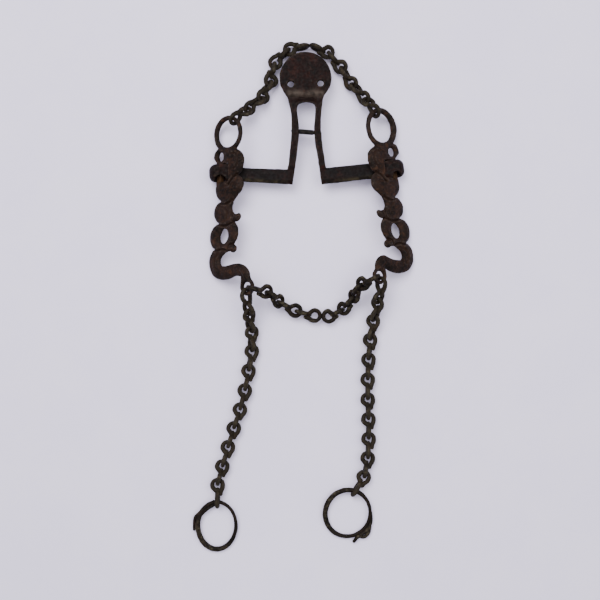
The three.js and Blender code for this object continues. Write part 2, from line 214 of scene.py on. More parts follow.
def roughen(obj, dents, pits, dent_size=3.2, pit_size=1.3, smooth=0):
    """Moves the surface in and out like hammered and rusted iron, and stores where it is hollow or proud."""
    mesh = obj.data
    co = coordinates(mesh)
    for _ in range(smooth):
        co = 0.5 * co + 0.5 * neighbour_mean(mesh, co)
    mesh.vertices.foreach_set("co", (co * MM).ravel())
    mesh.update()
    n = normals(mesh)
    pit = np.clip(PITS(co, pit_size) + 0.5 * PITS(co + 31, pit_size / 2) - 0.45, 0, 1)
    move = dents * NOISE(co, dent_size) + 0.5 * dents * NOISE(co + 17, dent_size / 2.3) - pits * pit
    co = co + n * move[:, None]
    mesh.vertices.foreach_set("co", (co * MM).ravel())
    mesh.update()
    n = normals(mesh)
    bulge = np.einsum("ij,ij->i", co - neighbour_mean(mesh, co), n)
    for _ in range(3):
        bulge = 0.4 * bulge + 0.6 * neighbour_mean(mesh, bulge)
    bulge = bulge - np.median(bulge)
    scale = np.percentile(np.abs(bulge), 90) + 1e-9
    store(mesh, "proud", np.clip(bulge / scale, 0, 1))
    store(mesh, "hollow", np.clip(np.maximum(-bulge / scale, 1.4 * pit), 0, 1))


def store(mesh, name, values):
    attribute = mesh.attributes.new(name, "FLOAT", "POINT")
    attribute.data.foreach_set("value", np.asarray(values, np.float32))


def catmull(points, samples):
    """A centripetal Catmull-Rom curve through the points."""
    p = np.asarray(points, float)
    p = np.concatenate([[2 * p[0] - p[1]], p, [2 * p[-1] - p[-2]]])
    knots = np.concatenate([[0], np.cumsum(np.linalg.norm(np.diff(p, axis=0), axis=1) ** 0.5)])
    out = []
    for s in range(len(p) - 3):
        p0, p1, p2, p3 = p[s:s + 4]
        t = knots[s:s + 4]
        for x in np.linspace(t[1], t[2], samples, endpoint=False):
            a1 = p0 + (p1 - p0) * (x - t[0]) / (t[1] - t[0])
            a2 = p1 + (p2 - p1) * (x - t[1]) / (t[2] - t[1])
            a3 = p2 + (p3 - p2) * (x - t[2]) / (t[3] - t[2])
            b1 = a1 + (a2 - a1) * (x - t[0]) / (t[2] - t[0])
            b2 = a2 + (a3 - a2) * (x - t[1]) / (t[3] - t[1])
            out.append(b1 + (b2 - b1) * (x - t[1]) / (t[2] - t[1]))
    out.append(p[-2])
    return np.array(out)


def evenly(path, step, closed=False):
    """The same path with its points about a step apart."""
    p = np.concatenate([path, path[:1]]) if closed else path
    along = np.concatenate([[0], np.cumsum(np.linalg.norm(np.diff(p, axis=0), axis=1))])
    n = max(4, int(round(along[-1] / step)))
    at = np.linspace(0, along[-1], n + 1)
    if closed:
        at = at[:-1]
    return np.stack([np.interp(at, along, p[:, k]) for k in range(p.shape[1])], axis=1)


def tube(path, radius, sides, closed=False, flatten=1.0):
    """Points and faces of a wire along a path, with a radius at each point. Its open ends are domed."""
    n = len(path)
    if closed:
        tangent = unit(np.roll(path, -1, 0) - np.roll(path, 1, 0))
    else:
        tangent = unit(np.gradient(path, axis=0))
    across = unit(np.cross(tangent[0], [0.3, 0.2, 1.0]))
    frames = [across]
    for k in range(1, n):
        across = across - tangent[k] * (across @ tangent[k])
        across = across / np.linalg.norm(across)
        frames.append(across)
    first = np.array(frames)
    twist = 0.0
    if closed:
        last = first[-1] - tangent[0] * (first[-1] @ tangent[0])
        last = last / np.linalg.norm(last)
        twist = math.atan2(np.cross(last, first[0]) @ tangent[0], last @ first[0])
    second = np.cross(tangent, first)
    angle = 2 * np.pi * np.arange(sides) / sides
    rings = []
    for k in range(n):
        a = angle + twist * k / n
        ring = np.cos(a)[:, None] * first[k] + flatten * np.sin(a)[:, None] * second[k]
        rings.append(path[k] + radius[k] * ring)
    if not closed:
        shares = (0.2, 0.55, 0.85)
        rings = [dome(rings[0], path[0], -tangent[0] * radius[0], s) for s in shares] + rings
        rings += [dome(rings[-1], path[-1], tangent[-1] * radius[-1], s) for s in shares[::-1]]
    points = np.concatenate(rings)
    faces = []
    count = len(rings)
    for k in range(count if closed else count - 1):
        a, b = k * sides, ((k + 1) % count) * sides
        for i in range(sides):
            j = (i + 1) % sides
            faces.append((a + i, a + j, b + j, b + i))
    if not closed:
        faces.append(tuple(range(sides))[::-1])
        faces.append(tuple(range((count - 1) * sides, count * sides)))
    return points, faces


def dome(ring, centre, out, share):
    """A smaller copy of a wire's end ring, further out on its rounded end."""
    return centre + (ring - centre) * share + out * math.sqrt(1 - share * share) * 0.8


def joined(name, parts):
    """One object from several (points, faces) pairs."""
    points, faces, base = [], [], 0
    for p, f in parts:
        points.append(p)
        faces += [tuple(i + base for i in face) for face in f]
        base += len(p)
    return make_object(name, np.concatenate(points), faces)


# ---- distances ------------------------------------------------------------------------------

def to_segments(p, starts, ends):
    """Distance from points to the nearest of the segments."""
    best = np.full(p.shape[:-1], np.inf)
    for start, end in zip(starts, ends):
        d = end - start
        t = np.clip(((p - start) @ d) / max(d @ d, 1e-12), 0, 1)
        best = np.minimum(best, np.linalg.norm(p - start - t[..., None] * d, axis=-1))
    return best


def to_curve(p, points):
    """Distance from points to the smooth curve through others."""
    curve = catmull(points, 6)
    return to_segments(p, curve[:-1], curve[1:])


def inside_polygon(p, polygon):
    x, y = p[..., 0], p[..., 1]
    result = np.zeros(x.shape, bool)
    for (x0, y0), (x1, y1) in zip(polygon, np.roll(polygon, -1, 0)):
        if y0 == y1:
            continue
        cross = (y0 > y) != (y1 > y)
        result ^= cross & (x < (x1 - x0) * (y - y0) / (y1 - y0) + x0)
    return result


def plan_distance(p, polygon):
    """Signed distance to a closed outline: below zero inside."""
    gap = to_segments(p, polygon, np.roll(polygon, -1, 0))
    return np.where(inside_polygon(p, polygon), -gap, gap)


def rounded(across, along, edge):
    """Where two signed distances are both below zero, with the edge between them rounded."""
    a, b = across + edge, along + edge
    return np.minimum(np.maximum(a, b), 0) + np.hypot(np.maximum(a, 0), np.maximum(b, 0)) - edge


def blend_min(a, b, k):
    """Two signed distances joined, with a fillet of about k between them."""
    h = np.clip(0.5 + 0.5 * (b - a) / k, 0, 1)
    return b + (a - b) * h - k * h * (1 - h)


def blend_max(a, b, k):
    """What two signed distances share, with the corner rounded by about k."""
    return -blend_min(-a, -b, k)


def bump_of(distance, width):
    """A soft bump, 1 at no distance."""
    return np.exp(-(distance / width) ** 2)


def ramp_of(value, start, length):
    """0 up to the start, 1 from a length further on; a negative length runs down instead."""
    return np.clip((value - start) / length, 0, 1)


# ---- cheeks ---------------------------------------------------------------------------------

# The cheek's outline in smooth runs, from the post round the curb ring, the lobes, the spur and the shank.
OUTLINE = [
    [(-3.4, -9.0), (-2.5, -7.6), (-2.4, 0.0), (-2.5, 7.4), (-3.6, 9.0)],
    [(-3.6, 9.0), (-5.2, 11.2), (-4.6, 14.6), (-1.6, 18.2), (4.0, 19.6)],
    [(4.0, 19.6), (9.0, 18.9), (14.5, 19.4), (20.0, 16.9), (24.2, 13.4), (25.3, 8.8), (24.2, 3.5),
     (21.6, -0.9), (19.2, -2.6)],
    [(19.2, -2.6), (23.0, -5.6), (24.6, -10.5), (22.7, -15.0), (18.9, -18.6), (15.2, -21.9), (13.1, -26.8),
     (13.2, -30.4), (15.2, -32.6), (18.2, -33.0), (20.7, -32.6), (22.0, -34.5), (21.2, -37.1), (18.9, -38.9),
     (15.7, -39.3)],
    [(15.7, -39.3), (18.4, -42.8), (19.3, -47.5), (17.9, -52.1), (15.0, -56.6)],
    [(15.0, -56.6), (17.4, -58.6), (17.2, -61.6), (14.4, -63.4), (11.4, -62.3)],
    [(11.4, -62.3), (8.2, -62.3), (4.0, -64.6), (0.4, -68.8), (1.6, -73.4), (7.1, -73.6), (13.6, -72.3),
     (20.0, -71.9), (26.3, -73.8), (30.5, -78.1), (32.0, -83.2), (35.2, -87.6), (35.7, -92.0), (33.4, -95.7),
     (29.0, -97.2), (24.7, -95.7), (22.3, -91.8), (22.6, -86.4), (22.8, -82.2)],
    [(22.8, -82.2), (16.8, -81.7), (10.3, -84.0), (3.8, -84.8), (-1.7, -84.0), (-6.7, -81.3), (-10.3, -75.7),
     (-11.1, -70.0), (-9.5, -64.5), (-5.6, -60.2)],
    [(-5.6, -60.2), (-8.2, -57.7), (-9.9, -53.3), (-9.7, -47.7), (-6.2, -42.6), (-1.2, -39.9)],
    [(-1.2, -39.9), (-4.7, -36.0), (-5.8, -31.1), (-3.6, -25.7), (1.1, -22.4)],
    [(1.1, -22.4), (-2.5, -18.8), (-4.0, -14.5), (-3.9, -11.6), (-3.4, -9.0)],
]

# Grooves chased or left by the fold of each scroll: points, half width and depth.
GROOVES = [
    ([(19.6, -2.4), (16.4, -4.4), (13.4, -7.6), (11.0, -9.6)], 0.8, 1.0),
    ([(0.4, -22.2), (5.0, -24.8), (9.8, -24.6), (14.6, -21.6)], 0.75, 0.9),
    ([(-1.8, -39.7), (3.2, -41.6), (9.6, -41.8), (16.2, -39.0)], 0.8, 1.0),
    ([(-6.0, -60.2), (-1.4, -61.6), (3.6, -60.4), (8.6, -61.6), (11.6, -62.6)], 0.8, 0.95),
    ([(15.4, -56.2), (11.7, -57.3), (10.6, -60.0), (11.8, -62.8)], 0.7, 1.0),
    ([(13.6, 14.4), (19.2, 13.6), (21.2, 8.6), (18.9, 3.6), (16.2, 2.2)], 0.8, 0.5),
    ([(4.0, -12.2), (9.2, -10.6), (15.0, -9.4), (20.4, -10.6)], 0.9, 0.35),
    ([(2.4, -26.2), (6.8, -27.6), (9.8, -31.4), (9.2, -36.6)], 0.9, 0.4),
    ([(13.2, -31.4), (15.0, -34.6), (14.6, -38.2)], 0.6, 0.6),
    ([(0.6, -63.6), (-3.4, -67.8), (-3.8, -73.0), (-0.6, -77.0)], 0.7, 0.45),
    ([(21.5, -77.6), (25.6, -81.6), (27.0, -85.2)], 0.7, 0.35),
]
BALL = dict(u=14.2, v=-60.0, width=2.4)
CHEEK_GRID = (-13.0, -100.0, -4.6), (38.0, 51.0, 4.6)


def forged(cheek, p):
    """Places a point of the left cheek's drawing on this cheek, which was forged a little differently."""
    u, v = p
    waist = -10
    if v >= waist:
        at_curb_ring = ramp_of(v, 8, 4) * ramp_of(u, 5, -4)
        return (u + at_curb_ring * cheek["curb"][0], v + at_curb_ring * cheek["curb"][1])
    at_eye = ramp_of(v, -74, -11) if u > 18 else 0
    rise = cheek["hump"] * bump_of(u - 23, 7) * bump_of(v + 72.5, 4)
    down = (v - waist) * cheek["short"]
    return (u + at_eye * cheek["eye"][0], waist + down + at_eye * cheek["eye"][1] + rise)


def on_cheek(cheek, p):
    """Carries points (u, v, height above the plate's middle) to the lying cheek, in drawing millimetres."""
    p = np.asarray(p, float)
    u, v, h = p[..., 0], p[..., 1], p[..., 2]
    c, s = math.cos(cheek["tilt"]), math.sin(cheek["tilt"])
    x = cheek["side"] * (u * c - h * s)
    z = u * s + h * c
    ct, st = math.cos(cheek["turn"]), math.sin(cheek["turn"])
    return np.stack([cheek["x"] + x * ct - v * st, cheek["y"] + x * st + v * ct, POST_HEIGHT + z], axis=-1)


def cheek_outline(cheek):
    """The closed outline, smooth within a run and with a corner between runs."""
    parts = []
    for run in OUTLINE:
        parts.append(catmull([forged(cheek, p) for p in run], 5)[:-1])
    return np.concatenate(parts)


def ellipse_gap(p, u, v, half_u, half_v, lean=0.0):
    """About the signed distance to an ellipse: below zero inside."""
    c, s = math.cos(lean), math.sin(lean)
    du, dv = p[..., 0] - u, p[..., 1] - v
    a, b = (du * c + dv * s) / half_u, (dv * c - du * s) / half_v
    r = np.hypot(a, b)
    return (r - 1) * r / np.maximum(np.hypot(a / half_u, b / half_v), 1e-6)


def slot_gap(cheek, plane, height):
    """About the signed distance to the slot for the bar's end; its inner wall leans over the bar."""
    lean = (CURL_OUT + 0.45 - height * math.cos(cheek["tilt"])) / math.sin(cheek["tilt"])
    inner = np.clip(lean, 11.3, SLOT_INNER - 0.2)
    u, v = plane[..., 0][..., None], plane[..., 1][..., None]
    end = SLOT_HALF - 0.15 - 0.15 * ramp_of(u, 7, 2)
    return np.maximum(np.maximum(SHOWN_POST - u, u - inner), np.abs(v) - end)


def cheek_plan(cheek, plane):
    """Signed distance to the cheek's outline and its three round openings, seen square on."""
    plan = plan_distance(plane, cheek_outline(cheek))
    for place, half_u, half_v, lean in ((OVAL, OVAL["short"], OVAL["long"], OVAL["lean"]),
                                        (CURB_RING, cheek["curb_hole"], CURB_RING["hole"], 0),
                                        (EYE, SHOWN_EYE, SHOWN_EYE, 0)):
        u, v = forged(cheek, (place["u"], place["v"]))
        plan = np.maximum(plan, -ellipse_gap(plane, u, v, half_u, half_v, lean))
    return plan


def cheek_relief(cheek, plane, depth):
    """How far the front and the back stand off the plate's middle: domed, chased, and slim at the post."""
    front_rim, front_rise, front_reach = 1.05, 2.1, 2.3
    back_rim, back_rise, back_reach = 1.15, 0.45, 1.5
    thinnest, proudest, post = 0.7, 3.4, 2.1
    front = front_rim + front_rise * (1 - np.exp(-depth / front_reach))
    back = back_rim + back_rise * (1 - np.exp(-depth / back_reach))
    for points, width, deep in GROOVES:
        gap = to_curve(plane, [forged(cheek, p) for p in points])
        front -= 1.3 * deep * bump_of(gap, width)
        front += 0.3 * deep * bump_of(gap - 2.3 * width, 1.4 * width)
    u, v = forged(cheek, (BALL["u"], BALL["v"]))
    front += 0.9 * bump_of(np.hypot(plane[..., 0] - u, plane[..., 1] - v), BALL["width"])
    at_post = ramp_of(np.abs(plane[..., 1]), 9.0, -1.6) * ramp_of(plane[..., 0], 4.6, -1.6)
    front = np.clip(front, thinnest, proudest) * (1 - at_post) + post * at_post
    back = back * (1 - at_post) + post * at_post
    return front, back


def head_ring(cheek, plane, height):
    """Signed distance to the headstall ring: oval, of uneven wire, stoutest where it joins the plate."""
    u, v, half_u, half_v = cheek["ring"]
    mean, outer = cheek["ring_wire"]
    r = np.hypot(plane[..., 0] - u, (plane[..., 1] - v) * half_u / half_v)
    bearing = np.arctan2(plane[..., 1] - v, plane[..., 0] - u)
    root, worn = bump_of(bearing + math.pi / 2, 0.5), bump_of(bearing - 1.2, 0.4)
    wire = mean - outer * np.cos(bearing) + 0.3 * root - 0.25 * worn
    return np.hypot((r - half_u)[..., None], height) - wire[..., None]


def make_cheek(cheek):
    """A forged cheek, netted from its signed distance on its own plate and then laid down."""
    cell = 0.34
    edge, slot_edge, ring_root = 0.95, 0.3, 1.3
    low, high = (np.array(corner) for corner in CHEEK_GRID)
    axes = [np.arange(a, b, cell) for a, b in zip(low, high)]
    plane = np.stack(np.meshgrid(axes[0], axes[1], indexing="ij"), axis=-1)
    height = axes[2][None, None, :]
    plan = cheek_plan(cheek, plane)
    front, back = cheek_relief(cheek, plane, np.maximum(-plan, 0))
    middle, half = (front - back)[..., None] / 2, (front + back)[..., None] / 2
    field = rounded(plan[..., None], np.abs(height - middle) - half, edge)
    field = blend_max(field, -slot_gap(cheek, plane, height), slot_edge)
    field = blend_min(field, head_ring(cheek, plane, height), ring_root)
    points, faces = surface_net(field, low, cell)
    if cheek["side"] < 0:
        faces = faces[:, ::-1]
    obj = make_object(f"forged_{cheek['name']}_cheek", on_cheek(cheek, points), faces.tolist())
    crease = np.zeros(len(points))
    for curve, width, deep in GROOVES:
        gap = to_curve(points[:, :2], [forged(cheek, p) for p in curve])
        crease = np.maximum(crease, min(1, deep * 1.2) * bump_of(gap, 1.3 * width))
    store(obj.data, "crease", crease)
    store(obj.data, "rust", bump_of(points[:, 1] + 5.4, 2.5) * (np.abs(points[:, 0]) < SHOWN_POST + 0.8))
    roughen(obj, 0.2, 0.22, smooth=1)
    return obj


# ---- mouthpiece -----------------------------------------------------------------------------

SPADE_HOLES = [(-12.4, 68.8), (11.0, 69.5)]
HOLE_HALF_WIDTH, HOLE_HALF_HEIGHT = 2.55, 2.35
PORT_EDGE = [(-11, -10.1), (-8.7, 5.3), (-6.3, 25), (-5.9, 34.5), (-7.4, 51), (-5.6, 53.7), (0.2, 54.8),
             (5.6, 53.7), (7.0, 51), (5.9, 34.5), (6.4, 26.5), (9.1, 9.2), (12, -10.1)]
PORT_TOP = slice(3, 10)
LEG_LEFT = [(-14.6, 57.3), (-12.3, 47.1), (-11.8, 32.9), (-12.6, 21.1), (-14.3, 5.3), (-15, 1.8)]
LEG_RIGHT = [(15.6, 3.0), (15.0, 5.3), (12.6, 21.1), (11.4, 32.9), (11.7, 47.1), (12.8, 56.8)]
UNDER_EDGE = [(-70, -7.5), (-48.5, -8.1), (-11, -10.1), (12, -10.1), (50, -5.9), (70, -4.0)]
RIDGE = [(-13.0, 61.4), (-7.0, 61.7), (0.0, 60.9), (6.5, 61.6), (12.0, 61.2)]
MOUTH_GRID = (-77.5, -12.0, 0.2), (78.0, 96.0, 18.4)


def arc(x, y, radius, start, end):
    """Points of an arc between two bearings in degrees."""
    a = np.radians(np.linspace(start, end, 40))
    return [(x + radius * math.cos(t), y + radius * math.sin(t)) for t in a]


def mouth_outline():
    """The plan of the bars, legs and spade as one closed outline."""
    port = catmull(PORT_EDGE[1:-1], 5)
    spade = arc(DISC["x"], DISC["y"], DISC["radius"], -17, 197)
    return np.array([
        (-68.7, -7.5), (-60, -7.5), (-48.5, -8.1), PORT_EDGE[0], *port, PORT_EDGE[-1],
        (49.3, -5.9), (60.5, -5.0), (69.7, -4.0), (68.3, 9.6), (60, 8.2), (48.5, 6.5),
        *catmull(LEG_RIGHT, 4), (14.2, 60.4), (16.6, 63.6), *spade, (-18.4, 63.4), (-16.2, 60.2),
        *catmull(LEG_LEFT, 4), (-48.5, 2.9), (-50.5, 3.6), (-57.8, 6.45), (-63.0, 6.5), (-68.7, 6.3)])


def barrel(cheek, grid):
    """Signed distances to the bar's end, rolled round the cheek's post, and to what is open in it.

    The roll is fatter and rounder on the outside of the bit. Open are its bore, flared at the lower
    end, the worn notch there, and the seam where the bar's tip meets the bar.
    """
    ct, st = math.cos(cheek["turn"]), math.sin(cheek["turn"])
    x, y = grid[..., 0] - cheek["x"], grid[..., 1] - cheek["y"]
    inward, along = cheek["side"] * (x * ct + y * st), y * ct - x * st
    z = grid[..., 2] - POST_HEIGHT
    r = np.hypot(inward, z)
    outward = ramp_of(inward, 4, -8)
    lower = along + CURL_LENGTH / 2
    body = rounded(r - CURL_OUT - 0.2 - 1.5 * outward ** 2, np.abs(along) - CURL_LENGTH / 2 - 0.25,
                   0.7 + 4.6 * outward)
    bore = CURL_IN + 1.6 * bump_of(np.maximum(lower, 0), 1.2) - r
    wide, deep, shift = cheek["mouth"]
    mouth = (np.hypot((inward - shift) / wide, (lower + 0.3) / deep) - 1) * wide
    seam_angle, seam_half = -0.5, 0.35
    seam = np.abs(np.arctan2(-z, inward) - seam_angle) * r - seam_half
    seam = np.maximum(seam, CURL_IN - 0.4 - r)
    return body, (bore, -np.maximum(mouth, -z), -np.maximum(seam, -inward))


def mouth_relief(plane):
    """The top and the bottom of the bars, legs and spade over each point of the plan."""
    x, y = plane[..., 0], plane[..., 1]
    legs = ramp_of(y, 1.0, 4) * ramp_of(y, 58.5, -5) * (np.abs(x) < 17)
    bars = np.clip((4.0 - y) / 3 + 1.6 * (np.abs(x) > 17), 0, 1) * (y < 12)
    spade = ramp_of(y, 55, 3)
    rise = legs * (LEG - BAR) / 2
    top = BAR_TOP + rise
    bottom = BAR_TOP - BAR - rise

    # The bars' lower edge is bevelled.
    foot = np.clip(np.abs(x) / 60, 0, 1)
    lower_edge = -7.9 - 2.2 * (1 - foot) + 2.6 * foot * (x > 0)
    top = top - bars * (1.35 * ramp_of(y, lower_edge + 3.0, -2.6) ** 1.3 + 0.1)

    # A ridge crosses the spade above the port, with a hollow below it and a raised lip round the port's top.
    ridge = to_curve(plane, RIDGE)
    top = top + 1.1 * bump_of(ridge, 2.3) * spade
    top = top + 0.1 * NOISE(np.stack([x, y / 6, 0 * x], axis=-1), 1.4) * spade
    top = top - 1.3 * bump_of(y - 57.2, 1.9) * ramp_of(np.abs(x), 8.2, -2.5)
    lip = to_curve(plane, PORT_EDGE[PORT_TOP])
    top = top + 0.4 * bump_of(lip - 0.9, 0.8) * ramp_of(y, 50, 3)

    # The spade is slightly domed, and its holes have burrs.
    away = np.hypot(x - DISC["x"], y - DISC["y"]) / DISC["radius"]
    top = top + spade * 0.35 * np.clip(1 - away ** 2, 0, 1) * (ridge > 2)
    for hole_x, hole_y in SPADE_HOLES:
        top = top + 0.3 * bump_of(np.hypot(x - hole_x, y - hole_y) - 3.3, 0.7)
    return top, bottom


def mark_mouthpiece(mesh, points):
    """Stores where the dark bars, the painted highlights on their lower edge and on the ridge, and the rusty
    hollow between the ridge and the port with its painted shade are.
    """
    x, y, z = points.T
    bar = (np.abs(x) > 15) & (np.abs(x) < 60) & (y < 14)
    above_edge = np.maximum(y - np.interp(x, *np.transpose(UNDER_EDGE)) - 1.4, 0)
    store(mesh, "bar", bar)
    # The bars' bevelled lower edge, which gets a painted highlight.
    store(mesh, "strip", bar * bump_of(above_edge, 1.3) * (z > BAR_MID))
    store(mesh, "crown", bump_of(to_curve(points[:, :2], RIDGE), 2.8) * (z > BAR_TOP - 0.5))
    # The hollow under the ridge: rust gathers there, and it gets painted shade.
    store(mesh, "crease", bump_of(y - 56.8, 2.2) * ramp_of(np.abs(x), 9, -3))


def make_mouthpiece():
    """Bars, legs and spade as one forging, with both rolled ends and the pin's hole."""
    cell = 0.42
    edge, barrel_root, pin_gap = 0.85, 0.8, 0.3
    low, high = (np.array(corner) for corner in MOUTH_GRID)
    axes = [np.arange(a, b, cell) for a, b in zip(low, high)]
    plane = np.stack(np.meshgrid(axes[0], axes[1], indexing="ij"), axis=-1)
    grid = np.stack(np.meshgrid(*axes, indexing="ij"), axis=-1)
    plan = plan_distance(plane, mouth_outline())
    for x, y in SPADE_HOLES:
        plan = np.maximum(plan, -ellipse_gap(plane, x, y, HOLE_HALF_WIDTH, HOLE_HALF_HEIGHT))
    top, bottom = mouth_relief(plane)
    middle, half = (top + bottom)[..., None] / 2, (top - bottom)[..., None] / 2
    field = rounded(plan[..., None], np.abs(grid[..., 2] - middle) - half, edge)
    for cheek in (LEFT, RIGHT):
        body, openings = barrel(cheek, grid)
        field = blend_min(field, body, barrel_root)
        for opening in openings:
            field = np.maximum(field, opening)
    ct, st = math.cos(PIN["turn"]), math.sin(PIN["turn"])
    across = (grid[..., 1] - PIN["y"]) * ct - (grid[..., 0] - PIN["x"]) * st
    pin_hole = PIN["radius"] + pin_gap - np.hypot(across, grid[..., 2] - BAR_MID)
    field = np.where(np.abs(grid[..., 0]) < 16, np.maximum(field, pin_hole), field)
    points, faces = surface_net(field, low, cell)
    obj = make_object("forged_mouthpiece", points, faces.tolist())
    mark_mouthpiece(obj.data, points)
    roughen(obj, 0.16, 0.2, smooth=1)
    return obj


def make_pin():
    """A rod across the port, stouter between the legs and riveted flush in both."""
    half = 11.6
    r = PIN["radius"]
    head = [(half, 0.8), (half - 0.1, r), (half - 0.3, r + 0.2), (half - 0.6, r + 0.2)]
    rod = [(s, r + 0.65 * ramp_of(abs(s), 6.2, -0.8)) for s in np.linspace(-half + 0.8, half - 0.8, 60)]
    profile = np.array([(-s, wire) for s, wire in head] + rod + head[::-1])
    along = np.array([math.cos(PIN["turn"]), math.sin(PIN["turn"]), 0])
    path = np.array([PIN["x"], PIN["y"], BAR_MID]) + profile[:, :1] * along
    obj = make_object("forged_cross_pin", *tube(path, profile[:, 1], 18))
    roughen(obj, 0.07, 0.1, dent_size=2.0, pit_size=0.9)
    return obj


# ---- chains ---------------------------------------------------------------------------------

def link_path(pitch, near, far, splay):
    """One wire link: an open teardrop, a quarter twist at the neck and a second open teardrop.

    near and far are how far its end wires pass the pivots at its two ends.
    """
    wide = 4.1
    neck = pitch / 2

    def half(end, sign, out):
        """From the cut end, splayed out from the neck, round the loop's end and back to the neck."""
        return [(neck + sign * 1.8, 2.1 + out), (neck - sign * 0.9, 2.75 + out / 2), (end + sign * 5.6, wide),
                (end + sign * 1.7, 3.45), (end, 0), (end + sign * 1.7, -3.45), (end + sign * 5.6, -wide),
                (neck - sign * 1.9, -2.2)]
    first = [(x, w, 0) for x, w in half(-near, 1, splay[0])]
    second = [(x, 0, -w) for x, w in reversed(half(pitch + far, -1, splay[1]))]
    return catmull(first + [(neck, 0, 0)] + second, 12)


def link_axes(start, end, up):
    """Rows: along the link, the first loop's other direction, and the first loop's normal."""
    along = unit(end - start)
    first = unit(up - along * (up @ along))
    return np.array([along, np.cross(first, along), first])


def seat(pivot, last, direction):
    """Where a link starts, so that both end wires keep their gap at a bend."""
    change = last[0] - direction
    change = change - 2 * (change @ last[2]) * last[2]
    return pivot + BEND * change


def make_link(name, start, end, up, near, far, number, pale):
    """A link of hammered wire, stouter along its flanks, with its two cut ends nipped close to the neck."""
    step, sides = ((0.45, 14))
    draw = np.random.default_rng(SEED + number)
    tone, *splay = draw.uniform(0, 1, 3)
    pitch = np.linalg.norm(end - start)
    path = evenly(link_path(pitch, near, far, splay), step)
    placed = start + path @ link_axes(start, end, up)
    along = np.linspace(0, 1, len(path))
    stub = 1 - 0.14 * bump_of(along, 0.03) - 0.14 * bump_of(1 - along, 0.03)
    worn = 1 - 0.05 * np.sin(2 * np.pi * (along + number * 0.37)) ** 2
    from_end = np.minimum(path[:, 0] + near, pitch + far - path[:, 0])
    stout = 1 + 0.14 * ramp_of(from_end, 0.9, 3)
    obj = make_object(f"forged_{name}", *tube(placed, SHOWN_WIRE * stub * worn * stout, sides, flatten=0.97))
    store(obj.data, "tone", np.full(len(obj.data.vertices), pale + 0.4 * tone))
    roughen(obj, 0.09, 0.12, dent_size=2.1, pit_size=0.95)
    return obj


def flat(points):
    """Pivots with their heights: one without a height lies on the floor with its links."""
    return [np.array(p if len(p) == 3 else (*p, FLOOR_AXIS), float) for p in points]


def on_round(cheek, u, v, half_u, half_v, angle):
    """A point on a ring or an eye of a cheek, and the wire's direction there."""
    def at(a):
        return on_cheek(cheek, (u + half_u * math.cos(a), v + half_v * math.sin(a), 0))
    return at(angle), unit(at(angle + 0.01) - at(angle - 0.01))


def on_head_ring(cheek, angle):
    """Where a chain hangs on the headstall ring, from the angle in degrees on the cheek's plate."""
    return on_round(cheek, *cheek["ring"], math.radians(angle))


def on_eye(cheek, angle):
    """Where a chain hangs on the shank's eye."""
    return on_round(cheek, *forged(cheek, (EYE["u"], EYE["v"])), RIM, RIM, math.radians(angle))


def make_chain(name, start, points, bends, lying, steps, pale):
    """Every link of a chain as its own piece, from the ring or eye that it hangs on.

    The first link faces along the wire that it hangs on. After some steps the links face as the chain lies.
    """
    contact, tangent = start
    pivots = [contact, *flat(points)]
    facing = tangent * np.sign(tangent @ lying)
    last = None
    made = []
    for i, end in enumerate(pivots[1:]):
        t = min(1, i / steps)
        up = unit(facing * (1 - t) + lying * t)
        begin = pivots[i] if last is None else seat(pivots[i], last, unit(end - pivots[i]))
        near = bends[0] if last is None else BEND
        far = bends[1] if i + 1 == len(points) else BEND
        node = f"{name}_link_{i + 1:02d}"
        made.append((node, make_link(node, begin, end, up, near, far, i + 40 * len(name), pale)))
        last = link_axes(begin, end, up)
    return made


# Each chain's pivots after its first, which is on a ring or an eye.
UPPER_LEFT = [(-46.6, 49.0, 13.2), (-35.8, 58.6, 8.2), (-29.2, 71.6), (-25.9, 86.0), (-15.2, 97.6),
              (-1.1, 101.2)]
UPPER_RIGHT = [(47.6, 57.0, 11.0), (37.4, 69.6, 6.4), (28.8, 82.8), (18.8, 95.0), (5.7, 101.2)]
LOWER_LEFT = [(-29.2, -95.0, 20.8), (-20.5, -103.4, 11.2), (-6.5, -110.8, 6.2), (9.0, -114.1, 5.9)]
LOWER_RIGHT = [(41.9, -89.3, 20.4), (36.4, -99.9, 11.6), (28.0, -109.6, 6.6), (15.5, -115.2, 5.9)]
REIN_LEFT = [(-45.2, -110.6, 17.0), (-44.2, -124.2, 8.4), (-43.6, -139.4), (-45.7, -155.1), (-48.6, -170.7),
             (-52.4, -186.1), (-57.2, -201.1), (-61.9, -216.1), (-66.4, -231.4), (-70.5, -246.2),
             (-71.0, -262.2)]
REIN_RIGHT = [(56.0, -101.6, 16.4), (54.0, -115.3, 8.0), (51.3, -130.4), (49.7, -146.1), (48.9, -162.0),
              (48.9, -177.9), (49.4, -193.6), (49.6, -209.3), (49.1, -224.8), (46.5, -240.1), (38.8, -253.4)]
UP = np.array([0.0, 0, 1])
BACK = np.array([0.0, 1, 0])


# ---- rein rings -----------------------------------------------------------------------------

def ring_path(contact, centre, half_width, half_height):
    """The bent oval of a rein ring: its near side hangs in the last loop, its far side lies flat."""
    count = 96
    outward = centre - contact
    outward[2] = 0
    outward = unit(outward)
    across = np.array([-outward[1], outward[0], 0])
    drop = RING_WIRE - FLOOR_AXIS + 0.1
    a = 2 * np.pi * np.arange(count) / count
    run = half_height * (1 - np.cos(a))
    path = contact + run[:, None] * outward + (half_width * np.sin(a))[:, None] * across
    path[:, 2] += drop * run / (2 * half_height)
    return path


